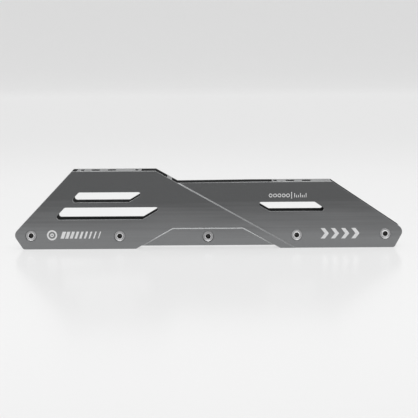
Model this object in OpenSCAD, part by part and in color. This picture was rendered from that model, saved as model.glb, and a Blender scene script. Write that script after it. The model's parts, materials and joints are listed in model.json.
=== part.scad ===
// Inline skate frame for five wheels, with its wheel axles fitted and no wheels.
// +X points to the toe, +Z up, and the origin is the centre of the middle axle.
// The near side, which the axles are put in from, faces -Y.

/* [Wheels] */
// Diameter of the wheels that the frame is made for
wheel_d = 80; // [76:1:84]
// Gap between neighbouring wheels
wheel_gap = 1.5; // [1:0.5:5]
// Rise of each axle over the one nearer to the middle, so that the wheels rock
rocker = 0.75; // [0:0.25:1.5]

/* [Boot mounting] */
// Shorter distance between a heel slot and a toe slot
mount_short = 165; // [160:1:170]
// Longer distance between a heel slot and a toe slot
mount_long = 195; // [190:1:200]
// Middle of the mounting slots, forward of the middle axle
mount_x = -6.25; // [-12:0.25:6]
// Width of a mounting slot along the frame
slot_w = 8; // [6:0.5:9]
// Length of a mounting slot across the frame, end to end
slot_l = 16; // [12:0.5:20]

/* [Decks] */
// Height of the toe deck over the top of the wheels
toe_rise = 10; // [8:0.25:14]
// Height of the heel deck over the toe deck
heel_raise = 10.65; // [9:0.05:16]
// Thickness of both decks
deck_t = 6; // [4:0.5:7]
// Radius of the fillet under a deck, where it meets the walls
deck_fillet = 2.5; // [1:0.5:4]
// Radius in the corners of the openings at a deck's ends
deck_corner_r = 2; // [1:0.25:2.5]
// From the rear slot back to the upper rear corner of the walls
heel_tail = 21.15; // [18:0.05:26]
// From the upper rear corner of the walls to the heel deck's rear edge
heel_setback = 4.2; // [2.6:0.1:5]
// From the front heel slot forward to the heel deck's front edge
heel_nose = 27.35; // [20:0.05:32]
// From the front heel slot forward to the upper front corner of the heel
heel_wall_nose = 40.45; // [36:0.05:46]
// From the rear toe slot back to the toe deck's rear edge
toe_tail = 17.05; // [12:0.05:22]
// From the front toe slot forward to the upper front corner of the walls
toe_nose = 22.95; // [16:0.05:28]
// From that corner back to the toe deck's front edge
toe_setback = 0.5; // [0.5:0.1:4]
// Width of the narrow cross cut-outs beside the decks' ends
vent_w = 3; // [2:0.25:3.5]
// Bar between the heel deck's rear edge and its cut-out
heel_rear_bar = 3.5; // [1.5:0.1:4]
// Bar between the heel deck's front edge and its cut-out
heel_front_bar = 2.7; // [1.5:0.1:5]
// Bar between the toe deck's rear edge and its cut-out
toe_rear_bar = 1.6; // [1.2:0.1:4]

/* [Slope] */
// Slant of the diagonal, of the strip's ends and of the lobes' ramps, in degrees
slant = 29.4; // [27:0.1:32]
// Fall of the walls' top edge from the toe deck back to the foot of the slope
waist_drop = 0.55; // [0:0.05:2]
// Where the top edge reaches the toe deck's height, forward of the middle axle
waist_x = 38; // [20:1:50]
// From the heel's upper front corner to the bridge, along the frame
bridge_gap = 10.7; // [5:0.1:13]
// Width of the bridge along the frame
bridge_w = 4.4; // [3:0.1:5]
// Thickness of the bridge
bridge_t = 5; // [3:0.5:7]

/* [Lower edge] */
// Depth of the lobes below the middle axle
lobe_drop = 11; // [10:0.25:14]
// Depth of the lower edge between the lobes, below the middle axle
belly_drop = 8; // [7:0.25:9]
// From the second and the fourth axle to the inner end of their lobe
lobe_reach = 15; // [11:0.25:20]
// From the rear axle back to the rear tip
rear_reach = 16.3; // [13:0.1:20]
// Height of the rear tip over the rear axle
rear_tip_up = 1.3; // [0:0.1:4]
// From the rear axle back to the lower rear corner
rear_low_reach = 7.1; // [4:0.1:9]
// From the front axle forward to the front tip
front_reach = 17.4; // [14:0.1:22]
// Height of the front tip over the front axle
front_tip_up = 3.9; // [0:0.1:6]
// From the front axle forward to the lower front corner
front_low_reach = 8.4; // [4:0.1:10]
// Radius of the rear and front tips
tip_r = 6; // [3:0.5:7]
// Radius of the lower corners
low_r = 3; // [1:0.5:4]
// Radius of the lobes' inner corners
ramp_r = 1.5; // [0.5:0.25:2]
// Radius of the decks' corners in the walls' outline
deck_edge_r = 1; // [0.5:0.25:2]

/* [Windows] */
// Lower edge of the upper heel window over the middle axle
upper_window_z = 31.9; // [30:0.1:34]
// Height of the upper heel window
upper_window_h = 9.3; // [6:0.1:11]
// Lower edge of the lower heel window over the middle axle
lower_window_z = 16; // [14:0.1:17.5]
// Height of the lower heel window
lower_window_h = 11.3; // [6:0.1:12]
// Distance from the rear edge of the walls to the heel windows, along the frame
heel_land = 24.5; // [18:0.1:28]
// Front tip of the upper heel window, behind the middle axle
upper_tip_back = 57; // [50:0.5:66]
// Front tip of the lower heel window, behind the middle axle
lower_tip_back = 41; // [36:0.5:56]
// Lower edge of the toe window over the middle axle
toe_window_z = 22.8; // [20:0.1:26]
// Height of the toe window
toe_window_h = 8.6; // [6:0.1:10]
// Rear tip of the toe window, forward of the middle axle
toe_tip_fwd = 42; // [40:0.5:52]
// Distance from the front edge of the walls to the toe window, along the frame
toe_land = 43.8; // [30:0.1:48]
// Slant of the heel windows' front ends and the toe window's rear end, in degrees
window_slant = 30.5; // [28:0.5:35]
// Radius of the windows' blunt corners
window_r = 2.4; // [1:0.1:2.8]
// Radius of the windows' pointed tips
window_tip_r = 1.9; // [0.8:0.1:2.2]

/* [Walls] */
// Gap between the two walls
channel_w = 30; // [28:0.5:34]
// Thickness of a wall where it is thinnest, on the toe side of the diagonal
wall_t = 2.3; // [1.8:0.1:3.5]
// Rise of the raised field on the heel side of the diagonal
field_rise = 1.2; // [0.6:0.1:1.6]
// Rise of the strip round the middle axle over the raised field
strip_rise = 0.8; // [0.4:0.1:1.2]
// Upper edge of the strip over the middle axle
strip_up = 7.2; // [6.5:0.1:9]
// Upper rear corner of the strip, behind the middle axle
strip_back = 32.4; // [26:0.1:36]
// Upper front corner of the strip, forward of the middle axle
strip_fwd = 32.2; // [24:0.1:36]

/* [Axles] */
// Diameter of the axles, which the wheel bearings sit on
axle_d = 8; // [7:0.5:8.5]
// Free length of an axle between the bosses
seat_l = 24.6; // [24:0.1:27.5]
// Lip of the axle's head all round
head_lip = 0.9; // [0.7:0.1:1.2]
// Thickness of the axle's head
head_t = 1.3; // [1:0.1:1.6]
// Radial gap round the head in its counterbore
head_play = 0.2; // [0.1:0.05:0.4]
// Width across the flats of the hexagon socket
hex_af = 4; // [3:0.5:5]
// Depth of the hexagon socket
hex_depth = 4.5; // [3:0.5:8]
// Pitch of the axle's thread
thread_pitch = 1; // [0.75:0.25:1.5]
// Wall of the threaded insert round its thread
insert_wall = 1; // [0.8:0.1:1.3]
// Lip of the insert's flange all round
insert_lip = 1.1; // [0.8:0.1:1.5]
// Thickness of the insert's flange
flange_t = 1; // [0.6:0.1:1.2]
// Wall of the boss round the insert
boss_wall = 1.1; // [0.8:0.1:1.6]

/* [Hidden] */
$fn = 64;

anodised = [0.42, 0.42, 0.43];
steel = [0.78, 0.78, 0.8];
insert_steel = [0.62, 0.62, 0.64];

// Axles, numbered from the heel
axle_count = 5;
mid_axle = 3;
axle_pitch = wheel_d + wheel_gap;
function axle_x(i) = (i - mid_axle) * axle_pitch;
function axle_z(i) = abs(i - mid_axle) * rocker;

// Clearances in the bores and beyond the cuts
shaft_slack = 0.02;
bore_play = 0.07;
thread_drop = 0.15;
thread_play = 0.05;
insert_play = 0.02;
over = 1;

// The walls meet end to end between the second, third and fourth axles, clear of the windows
wall_end_x = 2 * axle_pitch + 2 * wheel_d;
middle_end_x = 0.3 * axle_pitch;
heel_part = [-wall_end_x, -middle_end_x];
middle_part = [-middle_end_x, middle_end_x];
toe_part = [middle_end_x, wall_end_x];

// Levels across the frame, outwards from its middle plane
inner_h = channel_w / 2;
boss_h = seat_l / 2;
outer_h = inner_h + wall_t;
field_h = outer_h + field_rise;
strip_h = field_h + strip_rise;
head_seat_h = outer_h - head_t;

// Radii of the axle, the insert and their holes
shaft_r = axle_d / 2 - shaft_slack;
bore_r = shaft_r + bore_play;
head_r = axle_d / 2 + head_lip;
thread_r = axle_d / 2 - thread_drop;
insert_bore_r = thread_r + thread_play;
insert_r = insert_bore_r + insert_wall;
flange_r = insert_r + insert_lip;
boss_r = insert_r + boss_wall;
tip_h = head_seat_h + flange_t - 0.2;

// Heights of the decks and of the foot of the slope
toe_z = wheel_d / 2 + toe_rise;
heel_z = toe_z + heel_raise;
foot_z = toe_z - waist_drop;

// Mounting slots and deck ends along the frame
heel_slots = [mount_x - mount_long / 2, mount_x - mount_short / 2];
toe_slots = [mount_x + mount_short / 2, mount_x + mount_long / 2];
heel_rear_x = heel_slots[0] - heel_tail;
heel_front_x = heel_slots[1] + heel_wall_nose;
toe_front_x = toe_slots[1] + toe_nose;
heel_deck_x = [heel_rear_x + heel_setback, heel_slots[1] + heel_nose];
toe_deck_x = [toe_slots[0] - toe_tail, toe_front_x - toe_setback];

// Corners of the walls' outline
foot = [heel_front_x + (heel_z - foot_z) / tan(slant), foot_z];
rear_tip = [axle_x(1) - rear_reach, axle_z(1) + rear_tip_up];
front_tip = [axle_x(5) + front_reach, axle_z(5) + front_tip_up];
heel_rear = [heel_rear_x, heel_z];
heel_front = [heel_front_x, heel_z];
toe_front = [toe_front_x, toe_z];
ramp_l = (lobe_drop - belly_drop) / tan(slant);
heel_lobe_x = axle_x(2) + lobe_reach;
toe_lobe_x = axle_x(4) - lobe_reach;

// Height of the slope, and places along the rear and front edges, at a given place or height
function slope_z(x) = heel_z - (x - heel_front_x) * tan(slant);
function edge_x(a, b, z) = a.x + (b.x - a.x) * (z - a.y) / (b.y - a.y);
function rear_edge_x(z) = edge_x(rear_tip, heel_rear, z);
function front_edge_x(z) = edge_x(front_tip, toe_front, z);

// Points of the arc that rounds the corner b, between a and c, to the radius r
function corner_arc(a, b, c, r) =
    r == 0 ? [b] :
    let (u = (a - b) / norm(a - b), v = (c - b) / norm(c - b))
    let (half = acos(u * v) / 2)
    let (run = min(r / tan(half), norm(a - b) * 0.49, norm(c - b) * 0.49))
    let (radius = run * tan(half))
    let (middle = b + (u + v) / norm(u + v) * radius / sin(half))
    let (from = b + u * run - middle, to = b + v * run - middle)
    let (start = atan2(from.y, from.x), turn = atan2(to.y, to.x) - start)
    let (sweep = turn > 180 ? turn - 360 : turn < -180 ? turn + 360 : turn)
    let (steps = max(3, ceil(abs(sweep) * radius / 30)))
    [for (i = [0 : steps]) let (at = start + sweep * i / steps) middle + radius * [cos(at), sin(at)]];

// Closed outline from corners that are each [x, z, radius]
function rounded(corners) =
    let (n = len(corners), at = [for (c = corners) [c[0], c[1]]])
    [for (i = [0 : n - 1]) each corner_arc(at[(i + n - 1) % n], at[i], at[(i + 1) % n], corners[i][2])];

// Side outline shared by both walls
function wall_outline() = rounded([
    [axle_x(1) - rear_low_reach, -lobe_drop, low_r],
    [rear_tip.x, rear_tip.y, tip_r],
    [heel_rear.x, heel_rear.y, deck_edge_r],
    [heel_front.x, heel_front.y, deck_edge_r],
    [foot.x, foot.y, deck_edge_r],
    [waist_x, toe_z, 0],
    [toe_front.x, toe_front.y, deck_edge_r],
    [front_tip.x, front_tip.y, tip_r],
    [axle_x(5) + front_low_reach, -lobe_drop, low_r],
    [toe_lobe_x, -lobe_drop, ramp_r],
    [toe_lobe_x - ramp_l, -belly_drop, ramp_r],
    [heel_lobe_x + ramp_l, -belly_drop, ramp_r],
    [heel_lobe_x, -lobe_drop, ramp_r],
]);

// Heel window: its rear end follows the walls' rear edge, and its front end is a slanted tip
function heel_window(z, h, tip_back) = rounded([
    [rear_edge_x(z) + heel_land, z, window_r],
    [rear_edge_x(z + h) + heel_land, z + h, window_r],
    [-tip_back, z + h, window_tip_r],
    [-tip_back - h / tan(window_slant), z, window_r],
]);

// Toe window: its rear end is a slanted tip, and its front end follows the walls' front edge
function toe_window(z, h, tip_fwd) = rounded([
    [tip_fwd + h / tan(window_slant), z, window_r],
    [tip_fwd, z + h, window_tip_r],
    [front_edge_x(z + h) - toe_land, z + h, window_r],
    [front_edge_x(z) - toe_land, z, window_tip_r],
]);

// Stands a shape drawn in the side view on the middle plane, with its height towards the near side
module near_side() rotate([90, 0, 0]) children();

// Takes away what lies to the left of the line from a to b, above the level h. The face that stays
// slopes down from the line at 45 degrees.
module bevel_off(a, b, h, rise) {
    run = 4 * wheel_d;
    line = b - a;
    translate([a.x, a.y, h]) rotate([0, 0, atan2(line.y, line.x)]) translate([-run / 2, 0, 0])
        rotate([90, 0, 90]) linear_extrude(2 * run)
            polygon([[rise, 0], [run, 0], [run, rise + over], [-over, rise + over]]);
}

// Field on the heel side of the diagonal, which stands proud of the rest of the wall
module raised_field() difference() {
    translate([0, 0, outer_h - over]) linear_extrude(field_rise + over) polygon(wall_outline());
    bevel_off(heel_front, foot, outer_h, field_rise);
}

// Strip round the middle axle, which stands proud of the raised field. Its blank ends short of the
// diagonal.
module raised_strip() {
    foot_run = (strip_up + belly_drop) / tan(slant);
    rear_low = [-strip_back - foot_run, -belly_drop];
    rear_top = [-strip_back, strip_up];
    front_top = [strip_fwd, strip_up];
    front_low = [strip_fwd + foot_run, -belly_drop];
    spare = strip_rise + over;
    side = spare / sin(slant);
    rise_run = spare / tan(slant);
    difference() {
        translate([0, 0, field_h - over]) linear_extrude(strip_rise + over) polygon([
            rear_low - [side, 0],
            rear_top + [rise_run - side, spare],
            front_top + [side - rise_run, spare],
            front_low + [side, 0],
        ]);
        bevel_off(rear_low, rear_top, field_h, strip_rise);
        bevel_off(rear_top, front_top, field_h, strip_rise);
        bevel_off(front_top, front_low, field_h, strip_rise);
    }
}

// Wall before its axle holes are drilled: plate, raised fields and windows
module wall_blank() difference() {
    union() {
        translate([0, 0, inner_h]) linear_extrude(wall_t) polygon(wall_outline());
        raised_field();
        raised_strip();
    }
    translate([0, 0, boss_h]) linear_extrude(strip_h) {
        polygon(heel_window(upper_window_z, upper_window_h, upper_tip_back));
        polygon(heel_window(lower_window_z, lower_window_h, lower_tip_back));
        polygon(toe_window(toe_window_z, toe_window_h, toe_tip_fwd));
    }
}

// Bore through a wall at every axle, with a wider seat from a given level outwards
module axle_holes(r, seat_r) for (i = [1 : axle_count]) translate([axle_x(i), axle_z(i), 0]) {
    cylinder(h = strip_h + over, r = r);
    translate([0, 0, head_seat_h]) cylinder(h = strip_h, r = seat_r);
}

// Length of a drilled wall that lies between the two ends of part
module wall_part(part, r, seat_r) color(anodised) near_side() intersection() {
    difference() {
        wall_blank();
        axle_holes(r, seat_r);
    }
    translate([part[0], -2 * lobe_drop, 0]) cube([part[1] - part[0], 2 * heel_z, 2 * strip_h]);
}

module near_wall(part) wall_part(part, bore_r, head_r + head_play);
module near_heel_wall() near_wall(heel_part);
module near_middle_wall() near_wall(middle_part);
module near_toe_wall() near_wall(toe_part);

module far_wall(part) mirror([0, 1, 0]) wall_part(part, insert_r + insert_play, flange_r + insert_play);
module far_heel_wall() far_wall(heel_part);
module far_middle_wall() far_wall(middle_part);
module far_toe_wall() far_wall(toe_part);

// Ring on a wall's inner face, which the inner ring of a wheel bearing runs against
module boss_ring(i, r) color(anodised) translate([axle_x(i), 0, axle_z(i)]) near_side() difference() {
    translate([0, 0, boss_h]) cylinder(h = inner_h - boss_h, r = boss_r);
    translate([0, 0, boss_h - over]) cylinder(h = inner_h, r = r);
}

module near_boss(i) boss_ring(i, bore_r);
module far_boss(i) mirror([0, 1, 0]) boss_ring(i, insert_r + insert_play);

// Section of a deck across the frame, with a fillet down each wall
function deck_section() = let (steps = 6, low = -deck_t - deck_fillet) concat(
    [[-inner_h, 0], [-inner_h, low]],
    [for (i = [1 : steps]) let (a = 90 * i / steps)
        [-inner_h + deck_fillet * (1 - cos(a)), low + deck_fillet * sin(a)]],
    [for (i = [steps : -1 : 1]) let (a = 90 * i / steps)
        [inner_h - deck_fillet * (1 - cos(a)), low + deck_fillet * sin(a)]],
    [[inner_h, low], [inner_h, 0]]
);

// Plan of a deck's end, on the side that dir points to, with a rounded corner at each wall
function deck_end(x, dir) = let (steps = 6, r = deck_corner_r) concat(
    [for (i = [0 : steps]) let (a = 90 * i / steps)
        [x + dir * r * (1 - sin(a)), -dir * (inner_h - r * (1 - cos(a)))]],
    [for (i = [steps : -1 : 0]) let (a = 90 * i / steps)
        [x + dir * r * (1 - sin(a)), dir * (inner_h - r * (1 - cos(a)))]]
);

// Slot across the frame, with round ends
module cross_slot(x, width, length) translate([x, 0, -deck_t - over]) {
    reach = (length - width) / 2;
    for (y = [-reach, reach]) translate([0, y, 0]) cylinder(h = deck_t + 2 * over, r = width / 2);
    translate([-width / 2, -reach, 0]) cube([width, 2 * reach, deck_t + 2 * over]);
}

// Deck with its two mounting slots and its narrow cut-outs; a square front end meets the walls' corner
module deck(ends, z, slots, vents, square_front) color(anodised) translate([0, 0, z]) difference() {
    intersection() {
        translate([ends[0] - deck_corner_r, 0, 0]) rotate([90, 0, 90])
            linear_extrude(ends[1] - ends[0] + 2 * deck_corner_r) polygon(deck_section());
        translate([0, 0, -2 * deck_t]) linear_extrude(3 * deck_t) polygon(concat(
            deck_end(ends[0], -1),
            square_front ? [[ends[1], -inner_h], [ends[1], inner_h]] : deck_end(ends[1], 1)
        ));
    }
    for (x = slots) cross_slot(x, slot_w, slot_l);
    for (x = vents) cross_slot(x, vent_w, slot_l);
}

module heel_deck() deck(heel_deck_x, heel_z, heel_slots, [
    heel_deck_x[0] + heel_rear_bar + vent_w / 2,
    heel_deck_x[1] - heel_front_bar - vent_w / 2,
], false);

module toe_deck() deck(toe_deck_x, toe_z, toe_slots, [toe_deck_x[0] + toe_rear_bar + vent_w / 2], true);

// Bar on the slope between the decks, flush with the walls' top edge
module slope_bridge() color(anodised) {
    x = [heel_front_x + bridge_gap, heel_front_x + bridge_gap + bridge_w];
    translate([0, inner_h, 0]) near_side() linear_extrude(channel_w) polygon([
        [x[0], slope_z(x[0])],
        [x[1], slope_z(x[1])],
        [x[1], slope_z(x[1]) - bridge_t],
        [x[0], slope_z(x[0]) - bridge_t],
    ]);
}

// Side of an axle from its tip to its head: thread crests and roots, shaft, and the dished head
function axle_profile() =
    let (root = thread_r - 0.45 * thread_pitch, shoulder = -boss_h + 0.3)
    let (turns = floor((tip_h + shoulder - 0.4) / thread_pitch))
    let (face = head_seat_h + head_t, rim_r = head_r - 0.25, dish_r = rim_r * 0.68, cup_r = dish_r - 0.15)
    concat(
        [[0, -tip_h], [root, -tip_h]],
        [for (i = [turns - 1 : -1 : 0]) each [
            [thread_r, shoulder - (i + 0.55) * thread_pitch],
            [thread_r, shoulder - (i + 0.45) * thread_pitch],
            [root, shoulder - i * thread_pitch],
        ]],
        [[shaft_r, shoulder + 0.2], [shaft_r, head_seat_h], [head_r, head_seat_h]],
        [[head_r, face - 0.25], [rim_r, face], [dish_r, face - 0.75], [cup_r, face - 0.35], [0, face - 0.35]]
    );

module axle(i) color(steel) translate([axle_x(i), 0, axle_z(i)]) near_side() difference() {
    rotate_extrude() polygon(axle_profile());
    hex_r = hex_af / 2 / cos(30);
    face = head_seat_h + head_t;
    translate([0, 0, face - hex_depth]) rotate([0, 0, 30])
        cylinder(h = hex_depth + over, r = hex_r, $fn = 6);
    translate([0, 0, face - 0.75]) cylinder(h = 0.8, r1 = hex_r - 0.35, r2 = hex_r + 0.45);
}

module axle_insert(i) color(insert_steel) translate([axle_x(i), 0, axle_z(i)]) mirror([0, 1, 0])
    near_side() difference() {
        union() {
            translate([0, 0, boss_h]) cylinder(h = head_seat_h - boss_h + flange_t / 2, r = insert_r);
            translate([0, 0, head_seat_h]) cylinder(h = flange_t, r = flange_r);
        }
        translate([0, 0, boss_h - over]) cylinder(h = inner_h, r = insert_bore_r);
    }

near_heel_wall();
near_middle_wall();
near_toe_wall();
far_heel_wall();
far_middle_wall();
far_toe_wall();
heel_deck();
toe_deck();
slope_bridge();
for (i = [1 : axle_count]) near_boss(i);
for (i = [1 : axle_count]) far_boss(i);
for (i = [1 : axle_count]) axle(i);
for (i = [1 : axle_count]) axle_insert(i);
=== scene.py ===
import json
import math
from statistics import median

import bmesh
import bpy
from mathutils import Matrix, Vector
from mathutils.geometry import intersect_point_line

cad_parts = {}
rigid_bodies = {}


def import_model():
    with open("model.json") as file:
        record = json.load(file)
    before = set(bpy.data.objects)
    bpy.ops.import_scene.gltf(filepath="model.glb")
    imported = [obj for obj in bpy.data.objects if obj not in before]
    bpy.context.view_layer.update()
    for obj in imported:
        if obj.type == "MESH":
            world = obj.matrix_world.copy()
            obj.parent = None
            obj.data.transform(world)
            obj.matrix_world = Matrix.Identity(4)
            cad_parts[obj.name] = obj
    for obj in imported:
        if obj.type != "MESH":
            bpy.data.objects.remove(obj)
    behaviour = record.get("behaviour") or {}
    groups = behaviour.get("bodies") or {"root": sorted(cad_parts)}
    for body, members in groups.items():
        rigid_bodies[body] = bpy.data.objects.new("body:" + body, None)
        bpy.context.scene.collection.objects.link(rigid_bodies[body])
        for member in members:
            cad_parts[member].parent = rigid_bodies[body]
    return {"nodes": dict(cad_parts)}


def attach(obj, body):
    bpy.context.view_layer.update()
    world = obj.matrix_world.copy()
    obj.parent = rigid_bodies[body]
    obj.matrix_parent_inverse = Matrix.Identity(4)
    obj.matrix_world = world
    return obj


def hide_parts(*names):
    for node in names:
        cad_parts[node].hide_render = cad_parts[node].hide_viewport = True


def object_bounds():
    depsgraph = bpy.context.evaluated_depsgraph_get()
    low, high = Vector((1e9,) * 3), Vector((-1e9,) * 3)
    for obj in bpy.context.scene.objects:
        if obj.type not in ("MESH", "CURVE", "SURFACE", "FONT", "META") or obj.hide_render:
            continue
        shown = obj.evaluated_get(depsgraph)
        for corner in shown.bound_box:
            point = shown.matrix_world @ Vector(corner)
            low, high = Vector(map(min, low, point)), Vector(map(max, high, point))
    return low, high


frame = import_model()
cad_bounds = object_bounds()
nodes = frame["nodes"]

# Frame body: one aluminium extrusion with two walls, two boot decks, a bridge and bearing bosses,
# sawn and milled to its outline, windows, slots and bores. Its square outer edges and deck slots
# are broken with a small chamfer, and all of it is satin blasted and anodised grey.
# Sizes are in metres. ALONG_AXIS and the _NORMAL values are shares of a face's unit normal.
EDGE_CHAMFER = 0.0003
CHAMFER_STEPS = 2
SLOT_SHARE = 0.5
SQUARE = math.radians(55)
SLOPE_FOOT = 0.049
SLOPE_NORMAL = (0.8, 0.9)
ALONG_AXIS = 0.99
WELD = 2e-6
COPLANAR = math.radians(0.2)
LONG_EDGE = 0.1
END_SHARE = 0.01
SHORT_EDGE = 0.0002
WIDE_FACE = 1e-5
BODY_SMOOTH = math.radians(32)
WALL_INSIDE = 0.0151
WALL_FOOT = cad_bounds[0].z
WALL_TOP = cad_bounds[1].z
WALL_NORMAL = 0.98
CUT_NORMAL = 0.3
DECK_NORMAL = 0.8
BLUE_CAST = 0.03
EDGE, CHANNEL, MILLED, DECK, BEVEL = range(1, 6)


def opened(data):
    """Editable copy of a mesh."""
    mesh = bmesh.new()
    mesh.from_mesh(data)
    return mesh


def join_flat_faces(mesh):
    """Welds the corners and joins all that lies in one plane into single faces."""
    bmesh.ops.remove_doubles(mesh, verts=mesh.verts, dist=WELD)
    bmesh.ops.dissolve_limit(mesh, angle_limit=COPLANAR, verts=mesh.verts, edges=mesh.edges)


def wide_side_faces(mesh):
    """The large upright faces that look to either side."""
    return [
        face for face in mesh.faces
        if face.calc_area() > WIDE_FACE and abs(face.normal.y) > ALONG_AXIS
    ]


body_nodes = sorted(
    name for name in nodes
    if name.endswith(("_wall", "_deck", "_bridge")) or "_boss_" in name
)
lengths = bpy.data.collections.new("body_lengths")
bpy.context.scene.collection.children.link(lengths)
for name in body_nodes:
    length = bpy.data.objects.new(name + "_copy", nodes[name].data.copy())
    length.data.materials.clear()
    mesh = opened(length.data)
    join_flat_faces(mesh)
    mesh.to_mesh(length.data)
    mesh.free()
    lengths.objects.link(length)

frame_body = lengths.objects[0]
frame_body.name = "frame_body"
bpy.context.scene.collection.objects.link(frame_body)
lengths.objects.unlink(frame_body)
bpy.ops.object.select_all(action="DESELECT")
bpy.context.view_layer.objects.active = frame_body
frame_body.select_set(True)
union = frame_body.modifiers.new("one_extrusion", "BOOLEAN")
union.operation = "UNION"
union.solver = "EXACT"
union.operand_type = "COLLECTION"
union.collection = lengths
bpy.ops.object.modifier_apply(modifier="one_extrusion")
for length in list(lengths.objects):
    bpy.data.objects.remove(length)
bpy.data.collections.remove(lengths)

# An edge that runs past a corner without meeting it is split there, so that both can be welded.
mesh = opened(frame_body.data)
join_flat_faces(mesh)
for long_edge in [edge for edge in mesh.edges if edge.calc_length() > LONG_EDGE]:
    start, end = (vertex.co.copy() for vertex in long_edge.verts)
    for vertex in mesh.verts:
        nearest, share = intersect_point_line(vertex.co, start, end)
        if END_SHARE < share < 1 - END_SHARE and (vertex.co - nearest).length < 2 * WELD:
            bmesh.utils.edge_split(long_edge, long_edge.verts[0], share)
            break
bmesh.ops.remove_doubles(mesh, verts=mesh.verts, dist=2 * WELD)
bmesh.ops.recalc_face_normals(mesh, faces=mesh.faces)

# The outer edges on the slope stay sharp, because the bevelled diagonal meets them there.
weights = mesh.edges.layers.float.new("bevel_weight_edge")
for edge in mesh.edges:
    if not edge.is_convex or edge.calc_face_angle(0) < SQUARE:
        continue
    middle = (edge.verts[0].co + edge.verts[1].co) / 2
    if max(abs(vertex.co.y) for vertex in edge.verts) > WALL_INSIDE:
        on_slope = any(
            SLOPE_NORMAL[0] < face.normal.z < SLOPE_NORMAL[1] for face in edge.link_faces
        )
        edge[weights] = 0 if on_slope and middle.z > SLOPE_FOOT else 1
    elif middle.z > SLOPE_FOOT and any(face.normal.z > ALONG_AXIS for face in edge.link_faces):
        edge[weights] = SLOT_SHARE
mesh.to_mesh(frame_body.data)
mesh.free()
bpy.ops.mesh.customdata_custom_splitnormals_clear()

chamfer = frame_body.modifiers.new("broken_edges", "BEVEL")
chamfer.limit_method = "WEIGHT"
chamfer.width = EDGE_CHAMFER
chamfer.segments = CHAMFER_STEPS
chamfer.profile = 0.5
chamfer.loop_slide = False
chamfer.use_clamp_overlap = False
chamfer.material = EDGE
bpy.ops.object.modifier_apply(modifier="broken_edges")

# The chamfer leaves some corners of the side faces a hair out of plane, and crosses the shortest.
mesh = opened(frame_body.data)
for face in wide_side_faces(mesh):
    level = median(vertex.co.y for vertex in face.verts)
    for vertex in face.verts:
        vertex.co.y = level
wide_faces = set(wide_side_faces(mesh))
bmesh.ops.collapse(mesh, edges=[
    edge for edge in mesh.edges
    if edge.calc_length() < SHORT_EDGE and wide_faces.intersection(edge.link_faces)
])
mesh.to_mesh(frame_body.data)
mesh.free()

bpy.ops.object.shade_smooth_by_angle(angle=BODY_SMOOTH)
shading = frame_body.modifiers.new("flat_faces", "WEIGHTED_NORMAL")
shading.mode = "FACE_AREA"
shading.weight = 100
shading.keep_sharp = True
bpy.ops.object.modifier_apply(modifier="flat_faces")
triangles = frame_body.modifiers.new("even_triangles", "TRIANGULATE")
triangles.ngon_method = "BEAUTY"
triangles.keep_custom_normals = True
bpy.ops.object.modifier_apply(modifier="even_triangles")


def new_metal(name, colour, metallic, roughness):
    """Material with a Principled shader, and its node tree to add the finish to."""
    metal = bpy.data.materials.new(name)
    metal.use_nodes = True
    tree = metal.node_tree
    shader = tree.nodes["Principled BSDF"]
    shader.inputs["Base Color"].default_value = (*colour, 1)
    shader.inputs["Metallic"].default_value = metallic
    shader.inputs["Roughness"].default_value = roughness
    return metal, tree, shader


def grain(tree, stretch, detail, turned=False):
    """Noise stretched as tool marks are, along the axes or a turned piece's radius and axis."""
    if turned:
        place = tree.nodes.new("ShaderNodeAttribute")
        place.attribute_name = "turned"
        source = place.outputs["Vector"]
    else:
        source = tree.nodes.new("ShaderNodeTexCoord").outputs["Object"]
    shape = tree.nodes.new("ShaderNodeMapping")
    shape.inputs["Scale"].default_value = stretch
    noise = tree.nodes.new("ShaderNodeTexNoise")
    noise.inputs["Scale"].default_value = 1
    noise.inputs["Detail"].default_value = detail
    tree.links.new(source, shape.inputs["Vector"])
    tree.links.new(shape.outputs["Vector"], noise.inputs["Vector"])
    return noise.outputs["Fac"]


def spread(tree, value, low, high, start=0.3, end=0.7):
    """Maps a value from start to end, at first the middle of a noise, onto low to high."""
    scale = tree.nodes.new("ShaderNodeMapRange")
    scale.inputs["From Min"].default_value = start
    scale.inputs["From Max"].default_value = end
    scale.inputs["To Min"].default_value = low
    scale.inputs["To Max"].default_value = high
    tree.links.new(value, scale.inputs["Value"])
    return scale.outputs["Result"]


def combine(tree, operation, first, second):
    """Result of a math operation on two values, where the second may be a plain number."""
    step = tree.nodes.new("ShaderNodeMath")
    step.operation = operation
    tree.links.new(first, step.inputs[0])
    if isinstance(second, float):
        step.inputs[1].default_value = second
    else:
        tree.links.new(second, step.inputs[1])
    return step.outputs[0]


def tint(tree, value, dark, light, start=0.3, end=0.7):
    """Colour between dark and light, by a value."""
    ramp = tree.nodes.new("ShaderNodeValToRGB")
    ramp.color_ramp.elements[0].position = start
    ramp.color_ramp.elements[0].color = (*dark, 1)
    ramp.color_ramp.elements[1].position = end
    ramp.color_ramp.elements[1].color = (*light, 1)
    tree.links.new(value, ramp.inputs["Fac"])
    return ramp.outputs["Color"]


def relief(tree, shader, value, microns, strength):
    """Bump of a given real height from a value."""
    bump = tree.nodes.new("ShaderNodeBump")
    bump.inputs["Strength"].default_value = strength
    bump.inputs["Distance"].default_value = microns / 1e6
    tree.links.new(value, bump.inputs["Height"])
    tree.links.new(bump.outputs["Normal"], shader.inputs["Normal"])


def surface(tree, shader, value, colours, roughness):
    """Colour and roughness that change together with a value."""
    tree.links.new(tint(tree, value, *colours), shader.inputs["Base Color"])
    tree.links.new(spread(tree, value, *roughness), shader.inputs["Roughness"])


def grey(level):
    """Grey with a trace more blue than red, as the anodising has."""
    return level, level * (1 + BLUE_CAST / 2), level * (1 + BLUE_CAST)


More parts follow.
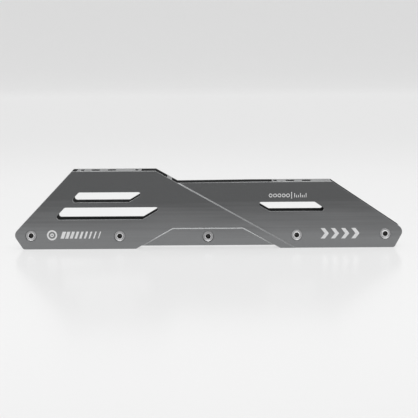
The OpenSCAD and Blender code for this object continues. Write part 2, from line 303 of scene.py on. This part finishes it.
satin, tree, shader = new_metal("satin_grey_anodising", grey(0.17), 0.9, 0.42)
place = tree.nodes.new("ShaderNodeSeparateXYZ")
tree.links.new(tree.nodes.new("ShaderNodeTexCoord").outputs["Object"], place.inputs[0])
height = spread(tree, place.outputs["Z"], 0.0, 1.0, WALL_FOOT, WALL_TOP)
clouds = grain(tree, (9, 60, 60), 3)
streaks = grain(tree, (5, 420, 420), 2)
fine_lines = grain(tree, (70, 3200, 3200), 2)
blasted = grain(tree, (5200, 5200, 5200), 1)
shade = combine(tree, "ADD", height, spread(tree, clouds, -0.05, 0.05))
shade = combine(tree, "ADD", shade, spread(tree, streaks, -0.045, 0.045))
# Painted shade: the base colour runs from lighter at the foot to darker at the top, standing in for
# how the light falls on the wall.
painted_shade_by_height = tint(tree, shade, grey(0.242), grey(0.114), 0.12, 0.6)
tree.links.new(painted_shade_by_height, shader.inputs["Base Color"])
polish = spread(tree, fine_lines, 0.37, 0.45)
polish = combine(tree, "ADD", spread(tree, streaks, 0.0, 0.05), polish)
tree.links.new(polish, shader.inputs["Roughness"])
relief(tree, shader, combine(tree, "ADD", fine_lines, blasted), 10, 0.3)

edge_metal, tree, shader = new_metal("broken_edge", grey(0.45), 0.95, 0.26)
nicks = grain(tree, (500, 500, 500), 3)
surface(tree, shader, nicks, (grey(0.38), grey(0.52)), (0.2, 0.32))
relief(tree, shader, nicks, 10, 0.2)

# Painted shade: the inside of the channel, between the two walls, is coloured near-black for the
# shade that falls there.
channel_painted_shade, tree, shader = new_metal("channel_inside_painted_shade", grey(0.055), 0.8, 0.5)
die_lines = grain(tree, (6, 1500, 1500), 3)
surface(tree, shader, die_lines, (grey(0.042), grey(0.068)), (0.42, 0.56))
relief(tree, shader, die_lines, 30, 0.4)

milled_metal, tree, shader = new_metal("milled_faces", grey(0.2), 0.95, 0.24)
cutter_lines = grain(tree, (1700, 25, 1700), 3)
surface(tree, shader, cutter_lines, (grey(0.17), grey(0.23)), (0.18, 0.3))
relief(tree, shader, cutter_lines, 10, 0.3)

deck_metal, tree, shader = new_metal("blasted_decks", grey(0.14), 0.9, 0.42)
blasted = grain(tree, (2400, 2400, 2400), 3)
surface(tree, shader, blasted, (grey(0.125), grey(0.16)), (0.38, 0.5))
relief(tree, shader, blasted, 20, 0.3)

bevel_metal, tree, shader = new_metal("cut_bevels", grey(0.25), 0.95, 0.36)
cutter_lines = grain(tree, (900, 900, 900), 3)
surface(tree, shader, cutter_lines, (grey(0.2), grey(0.27)), (0.32, 0.42))
relief(tree, shader, cutter_lines, 10, 0.2)

for material in (satin, edge_metal, channel_painted_shade, milled_metal, deck_metal, bevel_metal):
    frame_body.data.materials.append(material)
for face in frame_body.data.polygons:
    if face.material_index == EDGE:
        continue
    # Inner faces that don't face up take the channel's painted shade.
    if abs(face.center.y) < WALL_INSIDE:
        face.material_index = DECK if face.normal.z > DECK_NORMAL else CHANNEL
    elif abs(face.normal.y) < CUT_NORMAL:
        face.material_index = MILLED
    elif abs(face.normal.y) < WALL_NORMAL:
        face.material_index = BEVEL
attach(frame_body, "frame")
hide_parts(*body_nodes)

# Wheel axles: five turned steel axles with a dished head, a hexagon socket and a threaded end. They
# pass through both walls and screw into the inserts. The shafts are bright, the dishes satin.
AXLE_PITCH = 0.0815
ROCKER = 0.00075
ROUND_STEPS = 64
TURNED_SMOOTH = math.radians(38)
THREAD_PITCH = 0.001
THREAD_ROOT = 0.0034
THREAD_DEPTH = 0.00045
THREAD_START = 0.01205
THREAD_END = 0.01645
THREAD_CREST = 1.25
THREAD_FLANK = 2.6
RING_STEP = 0.00009
RING_COUNT = 48
RING_TOLERANCE = 0.00004
SOCKET_ACROSS_FLATS = 0.004
SOCKET_R = SOCKET_ACROSS_FLATS / 2 / math.cos(math.radians(30))
SOCKET_FLOOR = -0.0128
HEAD_FACE = -0.0173
RING_FACE = -0.01693
LEAD_IN_R = (0.00196, 0.00284)
LEAD_IN_L = 0.00082
LEAD_IN_Y = -0.01696
# Each finish of the head lies within a radius and in front of a place along the axis.
SOCKET_ZONE = (0.0024, -0.0127)
RING_ZONE = (0.00312, -0.0165)
DISH_ZONE = (0.005, -0.0165)
RING, DISH, SOCKET = range(1, 4)


def traced_line(name, points):
    """A chain of edges through points, drawn by extruding one vertex from place to place."""
    bpy.ops.object.select_all(action="DESELECT")
    bpy.ops.mesh.primitive_plane_add(size=0.001, location=points[0])
    piece = bpy.context.object
    piece.name = name
    bpy.ops.object.transform_apply(location=True, rotation=True, scale=True)
    bpy.ops.object.mode_set(mode="EDIT")
    bpy.ops.mesh.select_mode(type="VERT")
    bpy.ops.mesh.select_all(action="SELECT")
    bpy.ops.mesh.merge(type="CENTER")
    for start, end in zip(points, points[1:]):
        step = Vector(end) - Vector(start)
        bpy.ops.mesh.extrude_vertices_move(TRANSFORM_OT_translate={"value": step})
    return piece


def turned_piece(name, profile):
    """A solid turned round the Y axis from its profile of radius and place along the axis."""
    piece = traced_line(name, [(radius, along, 0) for radius, along in profile])
    bpy.ops.mesh.select_all(action="SELECT")
    bpy.ops.mesh.spin(steps=ROUND_STEPS, angle=2 * math.pi, center=(0, 0, 0), axis=(0, 1, 0))
    bpy.ops.mesh.select_all(action="SELECT")
    bpy.ops.mesh.remove_doubles(threshold=WELD)
    bpy.ops.mesh.normals_make_consistent(inside=False)
    bpy.ops.object.mode_set(mode="OBJECT")
    return piece


def cut_thread(piece, rings_r, root):
    """Moves the rings of a turned piece from their radius to a helical thread on its root."""
    for vertex in piece.data.vertices:
        x, y, z = vertex.co
        radius = math.hypot(x, z)
        if abs(radius - rings_r) > RING_TOLERANCE or not THREAD_START < y < THREAD_END:
            continue
        turn = (y / THREAD_PITCH - math.atan2(z, x) / (2 * math.pi)) % 1
        crest = min(1, max(0, THREAD_CREST - THREAD_FLANK * abs(turn - 0.5)))
        nearest_end = min(y - THREAD_START, THREAD_END - y)
        run_out = min(1, nearest_end / THREAD_PITCH * 2)
        wanted = root + THREAD_DEPTH * crest * run_out
        vertex.co.x, vertex.co.z = x * wanted / radius, z * wanted / radius


def record_turning(piece):
    """Stores each vertex's radius and place along the axis, which the turning marks follow."""
    turned = piece.data.attributes.new("turned", "FLOAT_VECTOR", "POINT")
    for vertex, mark in zip(piece.data.vertices, turned.data):
        mark.vector = (math.hypot(vertex.co.x, vertex.co.z), vertex.co.y, 0)


def cut_away(piece, cutter):
    """Takes a cutter's shape out of a piece and removes the cutter."""
    bpy.ops.object.select_all(action="DESELECT")
    bpy.context.view_layer.objects.active = piece
    piece.select_set(True)
    cut = piece.modifiers.new("cut", "BOOLEAN")
    cut.operation = "DIFFERENCE"
    cut.solver = "EXACT"
    cut.object = cutter
    bpy.ops.object.modifier_apply(modifier="cut")
    bpy.data.objects.remove(cutter)


# From the threaded tip along the shaft to the head's rim, down the dish and up to the inner ring.
thread_rings = [THREAD_END - RING_STEP * step for step in range(1, RING_COUNT + 1)]
axle_profile = (
    [(0, 0.0164), (0.0006, 0.0168), (0.0028, 0.0168), (0.00315, 0.0167), (THREAD_ROOT, THREAD_END)]
    + [(THREAD_ROOT, ring) for ring in thread_rings]
    + [(THREAD_ROOT, THREAD_START), (0.0034, 0.0119), (0.00386, 0.0118), (0.00398, 0.01168)]
    + [(0.00398, 0.01), (0.00398, -0.01), (0.00398, -0.016), (0.00478, -0.016), (0.0049, -0.01612)]
    + [(0.0049, -0.01703), (0.00486, -0.01713), (0.00476, -0.01722), (0.00464, -0.01724)]
    + [(0.00454, -0.0172), (0.0033, -0.01661), (0.00318, -0.01658), (0.0031, -0.01663)]
    + [(0.00304, -0.01674), (0.00298, -0.01684), (0.00286, -0.01691), (0.0027, RING_FACE)]
    + [(0.0026, RING_FACE), (0.0012, RING_FACE), (0, RING_FACE)]
)
first_axle = turned_piece("turned_axle", axle_profile)
cut_thread(first_axle, THREAD_ROOT, THREAD_ROOT)
record_turning(first_axle)
socket_l = SOCKET_FLOOR - HEAD_FACE
bpy.ops.object.select_all(action="DESELECT")
bpy.ops.mesh.primitive_cylinder_add(
    vertices=6, radius=SOCKET_R, depth=socket_l,
    location=(0, HEAD_FACE + socket_l / 2, 0), rotation=(math.pi / 2, 0, 0),
)
cut_away(first_axle, bpy.context.object)
bpy.ops.mesh.primitive_cone_add(
    vertices=ROUND_STEPS, radius1=LEAD_IN_R[0], radius2=LEAD_IN_R[1], depth=LEAD_IN_L,
    location=(0, LEAD_IN_Y, 0), rotation=(math.pi / 2, 0, 0),
)
cut_away(first_axle, bpy.context.object)
bpy.ops.object.shade_smooth_by_angle(angle=TURNED_SMOOTH)

bright_steel, tree, shader = new_metal("bright_turned_steel", (0.66, 0.66, 0.67), 1.0, 0.25)
turning = grain(tree, (9000, 9000, 0), 2, turned=True)
patches = grain(tree, (700, 700, 700), 2)
wear = combine(tree, "ADD", turning, spread(tree, patches, -0.1, 0.1))
surface(tree, shader, wear, ((0.58, 0.58, 0.59), (0.74, 0.74, 0.75)), (0.2, 0.34))
relief(tree, shader, turning, 6, 0.3)

# Painted highlight: the turned inner ring round the socket is near-white and mostly unmetallic, so
# it shows bright all round as if it caught the light; the turning marks on it are real.
ring_polish_and_highlight, tree, shader = new_metal("polished_ring_painted_highlight", (0.88, 0.88, 0.89), 0.2, 0.4)
turning = grain(tree, (12000, 12000, 0), 2, turned=True)
surface(tree, shader, turning, ((0.84, 0.84, 0.85), (0.92, 0.92, 0.93)), (0.34, 0.46))
relief(tree, shader, turning, 4, 0.3)

dish_steel, tree, shader = new_metal("satin_dish", (0.4, 0.4, 0.405), 0.9, 0.4)
turning = grain(tree, (12000, 12000, 0), 2, turned=True)
surface(tree, shader, turning, ((0.36, 0.36, 0.365), (0.45, 0.45, 0.455)), (0.36, 0.46))
relief(tree, shader, turning, 4, 0.3)

# Painted shade: the hexagon socket is coloured near-black for the shade deep inside it.
socket_painted_shade, tree, shader = new_metal("socket_interior_painted_shade", (0.06, 0.06, 0.06), 0.6, 0.45)
broaching = grain(tree, (4000, 200, 4000), 2)
surface(tree, shader, broaching, ((0.045, 0.045, 0.045), (0.08, 0.078, 0.075)), (0.38, 0.55))
relief(tree, shader, broaching, 6, 0.3)

for material in (bright_steel, ring_polish_and_highlight, dish_steel, socket_painted_shade):
    first_axle.data.materials.append(material)
for face in first_axle.data.polygons:
    radius = math.hypot(face.center.x, face.center.z)
    for zone, material_index in ((SOCKET_ZONE, SOCKET), (RING_ZONE, RING), (DISH_ZONE, DISH)):
        if radius < zone[0] and face.center.y < zone[1]:
            face.material_index = material_index
            break


def placed_copies(first, name, place_count):
    """Copies of a piece modelled at the middle axle, one at every axle, in order from the heel."""
    copies = []
    for number in range(1, place_count + 1):
        steps = number - (place_count + 1) // 2
        piece = bpy.data.objects.new(f"{name}_{number}", first.data.copy())
        piece.data.transform(Matrix.Translation((steps * AXLE_PITCH, 0, abs(steps) * ROCKER)))
        bpy.context.scene.collection.objects.link(piece)
        copies.append(piece)
    bpy.data.objects.remove(first)
    return copies


axle_count = sum(name.startswith("axle_insert_") for name in nodes)
for number, axle in enumerate(placed_copies(first_axle, "turned_axle", axle_count), 1):
    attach(axle, f"wheel_axle_{number}")
    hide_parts(f"axle_{number}")

# Threaded inserts: five flanged steel bushes, pressed into the far wall from outside, with the
# thread that an axle screws into. They are turned, with a duller plating than the axles.
THREAD_PLAY = 0.00005
INSERT_BORE = 0.0039
insert_profile = (
    [(0.0041, 0.0123), (INSERT_BORE, 0.0125)]
    + [(INSERT_BORE, ring) for ring in reversed(thread_rings) if ring > 0.0126]
    + [(INSERT_BORE, 0.0168), (0.0041, 0.017), (0.0056, 0.017), (0.00582, 0.01694)]
    + [(0.00594, 0.01682), (0.006, 0.0166), (0.006, 0.01612), (0.0059, 0.016), (0.0049, 0.016)]
    + [(0.0049, 0.0124), (0.0048, 0.0123), (0.0041, 0.0123)]
)
first_insert = turned_piece("turned_insert", insert_profile)
cut_thread(first_insert, INSERT_BORE, THREAD_ROOT + THREAD_PLAY)
record_turning(first_insert)
bpy.ops.object.shade_smooth_by_angle(angle=TURNED_SMOOTH)
insert_metal, tree, shader = new_metal("turned_insert_steel", (0.42, 0.42, 0.43), 1.0, 0.34)
turning = grain(tree, (9000, 9000, 0), 2, turned=True)
patches = grain(tree, (500, 500, 500), 3)
wear = combine(tree, "ADD", turning, spread(tree, patches, -0.12, 0.12))
surface(tree, shader, wear, ((0.34, 0.34, 0.35), (0.5, 0.5, 0.51)), (0.28, 0.42))
relief(tree, shader, turning, 6, 0.3)
first_insert.data.materials.append(insert_metal)
for number, insert in enumerate(placed_copies(first_insert, "turned_insert", axle_count), 1):
    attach(insert, "frame")
    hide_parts(f"axle_insert_{number}")

# Etched marks: plain shapes burnt through the anodising with a laser, so that pale bare aluminium
# shows. They have no words. They are a hair thick and lie on the near wall's outer face. Their
# sizes and places are in mm: two rings and slanted bars, chevrons, and small rings with a ruler.
FIELD_FACE = -0.0185
TOE_FACE = -0.0173
MARK_T = 0.00004
CIRCLE_STEPS = 48
TARGET_X, TARGET_Z = -143.6, 2
TARGET_RADII = ((4.7, 3.2), (1.7, 0.7))
BAR_COUNT = 9
BAR_X, BAR_STEP = -136, 4.3
BAR_W, BAR_THINNING = 3.2, 0.28
BAR_FOOT, BAR_TOP, BAR_LEAN = -1.2, 5.2, 2.2
CHEVRON_COUNT = 4
CHEVRON_X, CHEVRON_STEP, CHEVRON_W = 103.5, 9.4, 3.8
CHEVRON_FOOT, CHEVRON_TIP, CHEVRON_TOP = -2.6, 2.2, 7
WHEEL_COUNT = 5
WHEEL_X, WHEEL_STEP, WHEEL_Z = 57.6, 4, 37.4
WHEEL_RADII = (1.7, 1.1)
LINE_W = 0.6
LINE_X, LINE_FOOT, LINE_TOP = 76.6, 34.4, 40.6
TICK_COUNT, LONG_TICK_EVERY = 7, 3
TICK_X, TICK_STEP, TICK_FOOT = 79.4, 1.75, 35.6
LONG_TICK_TOP, SHORT_TICK_TOP = 39.4, 37.8

etched, tree, shader = new_metal("etched_aluminium", (0.78, 0.78, 0.78), 0.1, 0.6)
pits = grain(tree, (2600, 2600, 2600), 2)
surface(tree, shader, pits, ((0.7, 0.7, 0.705), (0.84, 0.84, 0.84)), (0.5, 0.68))
relief(tree, shader, pits, 4, 0.3)


def filled_shape(level, corners):
    """Flat shape with the given corners, in mm, on the wall's face."""
    points = [(x / 1000, level, z / 1000) for x, z in corners]
    shape = traced_line("shape", points)
    bpy.ops.mesh.select_all(action="SELECT")
    bpy.ops.mesh.edge_face_add()
    bpy.ops.object.mode_set(mode="OBJECT")
    return shape


def flat_ring(level, x, z, outer, inner):
    """Flat ring with a centre and radii in mm, on the wall's face."""
    centre = Vector((x / 1000, level, z / 1000))
    bpy.ops.object.select_all(action="DESELECT")
    bpy.ops.mesh.primitive_circle_add(
        vertices=CIRCLE_STEPS, radius=outer / 1000,
        location=centre, rotation=(math.pi / 2, 0, 0),
    )
    ring = bpy.context.object
    bpy.ops.object.transform_apply(location=True, rotation=True, scale=True)
    bpy.ops.object.mode_set(mode="EDIT")
    bpy.ops.mesh.select_all(action="SELECT")
    bpy.ops.mesh.extrude_edges_move()
    share = inner / outer
    bpy.ops.transform.resize(value=(share, 1, share), center_override=centre)
    bpy.ops.object.mode_set(mode="OBJECT")
    return ring


def slanted_bar(level, x, foot, top, width, lean):
    """Upright bar that leans forward, from its foot to its top, in mm."""
    return filled_shape(level, [
        (x, foot), (x + width, foot), (x + width + lean, top), (x + lean, top)])


def chevron(level, back):
    """Arrow shape that points to the toe, with its back corners at one place, in mm."""
    return filled_shape(level, [
        (back, CHEVRON_FOOT), (back + CHEVRON_W, CHEVRON_FOOT),
        (back + 2 * CHEVRON_W, CHEVRON_TIP), (back + CHEVRON_W, CHEVRON_TOP),
        (back, CHEVRON_TOP), (back + CHEVRON_W, CHEVRON_TIP)])


def etched_mark(name, shapes):
    """Joins flat shapes into one mark and gives it its thickness and its material."""
    bpy.ops.object.select_all(action="DESELECT")
    for shape in shapes:
        shape.select_set(True)
    mark = shapes[0]
    bpy.context.view_layer.objects.active = mark
    bpy.ops.object.join()
    mark.name = name
    bpy.ops.object.mode_set(mode="EDIT")
    bpy.ops.mesh.select_all(action="SELECT")
    bpy.ops.mesh.normals_make_consistent(inside=False)
    bpy.ops.object.mode_set(mode="OBJECT")
    build_up = mark.modifiers.new("thickness", "SOLIDIFY")
    build_up.thickness = MARK_T
    build_up.offset = 0
    bpy.ops.object.modifier_apply(modifier="thickness")
    bpy.ops.object.mode_set(mode="EDIT")
    bpy.ops.mesh.select_all(action="SELECT")
    bpy.ops.mesh.normals_make_consistent(inside=False)
    bpy.ops.object.mode_set(mode="OBJECT")
    mark.data.materials.clear()
    mark.data.materials.append(etched)
    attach(mark, "frame")


heel_shapes = [
    flat_ring(FIELD_FACE, TARGET_X, TARGET_Z, outer, inner) for outer, inner in TARGET_RADII
]
for step in range(BAR_COUNT):
    bar_x = BAR_X + BAR_STEP * step
    bar_w = BAR_W - BAR_THINNING * step
    heel_shapes.append(slanted_bar(FIELD_FACE, bar_x, BAR_FOOT, BAR_TOP, bar_w, BAR_LEAN))
etched_mark("etched_heel_mark", heel_shapes)

toe_shapes = [
    chevron(TOE_FACE, CHEVRON_X + CHEVRON_STEP * step) for step in range(CHEVRON_COUNT)
]
etched_mark("etched_toe_mark", toe_shapes)

size_shapes = [
    flat_ring(TOE_FACE, WHEEL_X + WHEEL_STEP * step, WHEEL_Z, *WHEEL_RADII)
    for step in range(WHEEL_COUNT)
]
size_shapes.append(slanted_bar(TOE_FACE, LINE_X, LINE_FOOT, LINE_TOP, LINE_W, 0))
for step in range(TICK_COUNT):
    tick_x = TICK_X + TICK_STEP * step
    tick_top = LONG_TICK_TOP if step % LONG_TICK_EVERY == 0 else SHORT_TICK_TOP
    size_shapes.append(slanted_bar(TOE_FACE, tick_x, TICK_FOOT, tick_top, LINE_W, 0))
etched_mark("etched_size_mark", size_shapes)

# Studio: a pale floor that the two lower lobes stand on, swept up into a pale backdrop all round,
# with three softboxes. Seen by the camera, the floor and the room glow evenly pale.
FLOOR_Z = cad_bounds[0].z
FLOOR_R = 4.0
SWEEP_R = 1.6
SWEEP_STEPS = 12
FLOOR_STEPS = 96
BACKDROP_H = 4.0
PALE = (0.93, 0.93, 0.93, 1)
FLOOR_GLOW = 0.65
ROOM_LIGHT = 0.4


def looked_at(tree):
    """1 on the rays that show a surface to the camera, also mirrored or through glass, else 0."""
    path = tree.nodes.new("ShaderNodeLightPath")
    seen = combine(tree, "MAXIMUM", path.outputs["Is Camera Ray"], path.outputs["Is Glossy Ray"])
    return combine(tree, "MAXIMUM", seen, path.outputs["Is Transmission Ray"])


sweep = [
    (FLOOR_R + SWEEP_R * math.sin(turn), 0, FLOOR_Z + SWEEP_R * (1 - math.cos(turn)))
    for turn in [math.radians(90) * step / SWEEP_STEPS for step in range(SWEEP_STEPS + 1)]
]
backdrop_top = (FLOOR_R + SWEEP_R, 0, FLOOR_Z + BACKDROP_H)
floor = traced_line("studio_floor", [(0, 0, FLOOR_Z), *sweep, backdrop_top])
bpy.ops.mesh.select_all(action="SELECT")
bpy.ops.mesh.spin(steps=FLOOR_STEPS, angle=2 * math.pi, center=(0, 0, 0), axis=(0, 0, 1))
bpy.ops.mesh.select_all(action="SELECT")
bpy.ops.mesh.remove_doubles(threshold=WELD)
bpy.ops.object.mode_set(mode="OBJECT")
bpy.ops.object.shade_smooth()
floor_paint, tree, shader = new_metal("pale_floor", (0.78, 0.78, 0.78), 0.0, 0.14)
shader.inputs["Specular IOR Level"].default_value = 0.35
glow = tree.nodes.new("ShaderNodeEmission")
glow.inputs["Color"].default_value = PALE
glow.inputs["Strength"].default_value = 1
mix = tree.nodes.new("ShaderNodeMixShader")
tree.links.new(combine(tree, "MULTIPLY", looked_at(tree), FLOOR_GLOW), mix.inputs["Fac"])
tree.links.new(shader.outputs["BSDF"], mix.inputs[1])
tree.links.new(glow.outputs["Emission"], mix.inputs[2])
tree.links.new(mix.outputs["Shader"], tree.nodes["Material Output"].inputs["Surface"])
floor.data.materials.append(floor_paint)

world = bpy.data.worlds.new("pale_studio")
bpy.context.scene.world = world
world.use_nodes = True
sky = world.node_tree
room = sky.nodes["Background"]
room.inputs["Color"].default_value = (0.9, 0.9, 0.9, 1)
room.inputs["Strength"].default_value = ROOM_LIGHT
backdrop = sky.nodes.new("ShaderNodeBackground")
backdrop.inputs["Color"].default_value = PALE
backdrop.inputs["Strength"].default_value = 1
choose = sky.nodes.new("ShaderNodeMixShader")
sky.links.new(looked_at(sky), choose.inputs["Fac"])
sky.links.new(room.outputs["Background"], choose.inputs[1])
sky.links.new(backdrop.outputs["Background"], choose.inputs[2])
sky.links.new(choose.outputs["Shader"], sky.nodes["World Output"].inputs["Surface"])


def softbox(name, place, size, power):
    """Rectangular lamp at a place, turned to face the middle of the object."""
    lamp = bpy.data.lights.new(name, "AREA")
    lamp.shape = "RECTANGLE"
    lamp.size, lamp.size_y = size
    lamp.energy = power
    stand = bpy.data.objects.new(name, lamp)
    stand.location = place
    stand.rotation_euler = (Vector() - Vector(place)).to_track_quat("-Z", "Y").to_euler()
    bpy.context.scene.collection.objects.link(stand)


softbox("overhead_softbox", place=(0, 0, 1.4), size=(1.6, 0.45), power=7)
softbox("front_softbox", place=(0, -0.8, 1.15), size=(1.1, 0.45), power=11)
softbox("back_softbox", place=(0, 0.95, 1.0), size=(1.8, 0.4), power=7)

# Camera: a long lens square to the near wall, two metres off and looking 5 degrees down, as in the
# photograph. The middle axle's place on the near wall lands on the same pixel as there.
IMAGE_W = IMAGE_H = 418
SENSOR_W = 36
PX_PER_MM = 1.087
DISTANCE = 2.0
TILT = math.radians(5.0)
ROLL = math.radians(0.35)
ANCHOR = Vector((0, FIELD_FACE, 0))
ANCHOR_PX = (208.2, 236.5)
focal_px = PX_PER_MM * 1000 * DISTANCE
forward = Vector((0, math.cos(TILT), -math.sin(TILT)))
level_up = Vector((1, 0, 0)).cross(forward)
right = Vector((1, 0, 0)) * math.cos(ROLL) - level_up * math.sin(ROLL)
up = right.cross(forward)
across = (ANCHOR_PX[0] - IMAGE_W / 2) / focal_px * DISTANCE
down = (ANCHOR_PX[1] - IMAGE_H / 2) / focal_px * DISTANCE
camera = bpy.data.objects.new("camera", bpy.data.cameras.new("camera"))
camera.data.sensor_width = SENSOR_W
camera.data.lens = focal_px / IMAGE_W * SENSOR_W
camera.data.clip_start = 0.05
camera.data.clip_end = 60
spot = ANCHOR - forward * DISTANCE - right * across + up * down
turn = Matrix((right, up, -forward)).transposed()
camera.matrix_world = Matrix.Translation(spot) @ turn.to_4x4()
bpy.context.scene.collection.objects.link(camera)
bpy.context.scene.camera = camera
bpy.context.scene.view_settings.view_transform = "Standard"
